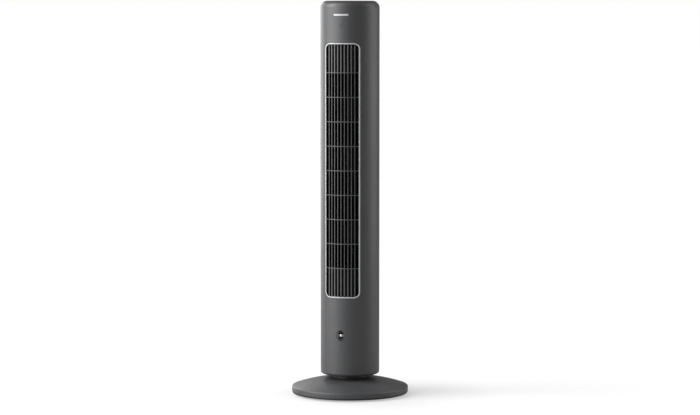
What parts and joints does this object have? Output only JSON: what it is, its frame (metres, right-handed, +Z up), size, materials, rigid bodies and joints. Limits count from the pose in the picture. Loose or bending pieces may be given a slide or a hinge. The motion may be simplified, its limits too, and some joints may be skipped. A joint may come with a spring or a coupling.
{
  "type": "tower fan",
  "caption": "Slim round tower fan: a grilled column with a tangential impeller swings on a weighted round base, with push buttons on top and a twist scent holder.",
  "frame": {"origin": "centre of the round base, on the floor", "axes": "+Z up along the column, -Y towards the front grille, +X to the right of someone facing the fan's front"},
  "size_m": [0.3124, 0.3124, 1.055],
  "materials": {
    "base_tray": "matt black",
    "base_cover": "satin dark grey",
    "ballast_plate": "zinc plated",
    "rubber_feet": "matt",
    "base_screws": "zinc plated",
    "cord_gland": "matt",
    "swivel_post": "matt black",
    "glide_ring": "natural acetal",
    "thrust_washer": "zinc plated",
    "swing_gear": "natural acetal",
    "gear_clip": "zinc plated",
    "turntable_plate": "matt black",
    "front_shell": "satin dark grey",
    "rear_shell": "satin dark grey",
    "shell_screws": "zinc plated",
    "intake_grille": "matt black",
    "carry_handle": "matt black",
    "front_grille": "satin grey",
    "blank_panels": "matt black",
    "trim_ring": "satin silver",
    "top_cap": "satin dark grey",
    "control_panel": "high gloss black",
    "control_board": "green board",
    "display_module": "moulded",
    "tact_switches": "moulded",
    "ir_window": "high gloss black",
    "ir_receiver": "moulded",
    "badge_plate": "satin silver",
    "aroma_sleeve": "matt black",
    "swing_bracket": "zinc plated",
    "swing_motor": "laminated",
    "motor_plate": "zinc plated",
    "motor_mounts": "matt",
    "motor_shell_lower": "zinc plated",
    "motor_shell_upper": "zinc plated",
    "motor_bushes": "sintered bronze",
    "stator_core": "laminated",
    "stator_windings": "enamelled copper",
    "lower_chamber_plate": "zinc plated",
    "upper_chamber_plate": "zinc plated",
    "upper_bearing": "moulded",
    "scroll_wall": "matt black",
    "vortex_wall": "matt black",
    "main_board": "green board",
    "board_parts": "moulded",
    "machine_screws": "zinc plated",
    "panel_cable": "sheathed cable",
    "impeller_segments": "matt black",
    "impeller_hub": "turned",
    "top_axle": "zinc plated",
    "motor_shaft": "zinc plated",
    "motor_rotor": "laminated",
    "drive_pinion": "natural acetal",
    "aroma_cap": "satin silver",
    "scent_pad": "felt",
    "button_timer": "matt black",
    "button_mode": "matt black",
    "button_power": "matt black",
    "button_speed": "matt black",
    "button_swing": "matt black"
  },
  "bodies": {
    "base": {"base_tray": "base_tray", "base_cover": "base_cover", "ballast_plate": "ballast_plate", "rubber_feet": "rubber_feet", "base_screws": "base_screws", "cord_gland": "cord_gland", "swivel_post": "swivel_post", "glide_ring": "glide_ring", "thrust_washer": "thrust_washer", "swing_gear": "swing_gear", "gear_clip": "gear_clip"},
    "column": {"turntable_plate": "turntable_plate", "front_shell": "front_shell", "rear_shell": "rear_shell", "shell_screws": "shell_screws", "intake_grille": "intake_grille", "carry_handle": "carry_handle", "front_grille": "front_grille", "blank_panels": "blank_panels", "trim_ring": "trim_ring", "top_cap": "top_cap", "control_panel": "control_panel", "control_board": "control_board", "display_module": "display_module", "tact_switches": "tact_switches", "ir_window": "ir_window", "ir_receiver": "ir_receiver", "badge_plate": "badge_plate", "aroma_sleeve": "aroma_sleeve", "swing_bracket": "swing_bracket", "swing_motor": "swing_motor", "motor_plate": "motor_plate", "motor_mounts": "motor_mounts", "motor_shell_lower": "motor_shell_lower", "motor_shell_upper": "motor_shell_upper", "motor_bushes": "motor_bushes", "stator_core": "stator_core", "stator_windings": "stator_windings", "lower_chamber_plate": "lower_chamber_plate", "upper_chamber_plate": "upper_chamber_plate", "upper_bearing": "upper_bearing", "scroll_wall": "scroll_wall", "vortex_wall": "vortex_wall", "main_board": "main_board", "board_parts": "board_parts", "machine_screws": "machine_screws", "panel_cable": "panel_cable"},
    "impeller": {"impeller_segments": "impeller_segments", "impeller_hub": "impeller_hub", "top_axle": "top_axle", "motor_shaft": "motor_shaft", "motor_rotor": "motor_rotor"},
    "pinion": {"drive_pinion": "drive_pinion"},
    "scent_holder": {"aroma_cap": "aroma_cap", "scent_pad": "scent_pad"},
    "button_timer": {"button_timer": "button_timer"},
    "button_mode": {"button_mode": "button_mode"},
    "button_power": {"button_power": "button_power"},
    "button_speed": {"button_speed": "button_speed"},
    "button_swing": {"button_swing": "button_swing"}
  },
  "joints": [
    {"name": "swing", "type": "hinge", "parent": "base", "child": "column", "pos_m": [0, 0, 0.0625], "axis": [0, 0, 1], "range_deg": [-45, 45]},
    {"name": "pinion_spin", "type": "hinge", "parent": "column", "child": "pinion", "pos_m": [0, 0.0375, 0.076], "axis": [0, 0, 1], "range_deg": [-185, 185]},
    {"name": "impeller_spin", "type": "hinge", "parent": "column", "child": "impeller", "pos_m": [0, 0.012, 0.3], "axis": [0, 0, 1], "continuous": true},
    {"name": "scent_twist", "type": "hinge", "parent": "column", "child": "scent_holder", "pos_m": [0, -0.07, 0.166], "axis": [0, -1, 0], "range_deg": [0, 90]},
    {"name": "press_timer", "type": "slide", "parent": "column", "child": "button_timer", "axis": [0, 0, -1], "range_m": [0, 0.0008], "stiffness_N_per_m": 400, "springref_m": -0.001},
    {"name": "press_mode", "type": "slide", "parent": "column", "child": "button_mode", "axis": [0, 0, -1], "range_m": [0, 0.0008], "stiffness_N_per_m": 400, "springref_m": -0.001},
    {"name": "press_power", "type": "slide", "parent": "column", "child": "button_power", "axis": [0, 0, -1], "range_m": [0, 0.0008], "stiffness_N_per_m": 400, "springref_m": -0.001},
    {"name": "press_speed", "type": "slide", "parent": "column", "child": "button_speed", "axis": [0, 0, -1], "range_m": [0, 0.0008], "stiffness_N_per_m": 400, "springref_m": -0.001},
    {"name": "press_swing", "type": "slide", "parent": "column", "child": "button_swing", "axis": [0, 0, -1], "range_m": [0, 0.0008], "stiffness_N_per_m": 400, "springref_m": -0.001}
  ],
  "couplings": [
    {"joint": "pinion_spin", "follows": "swing", "ratio": 4}
  ]
}
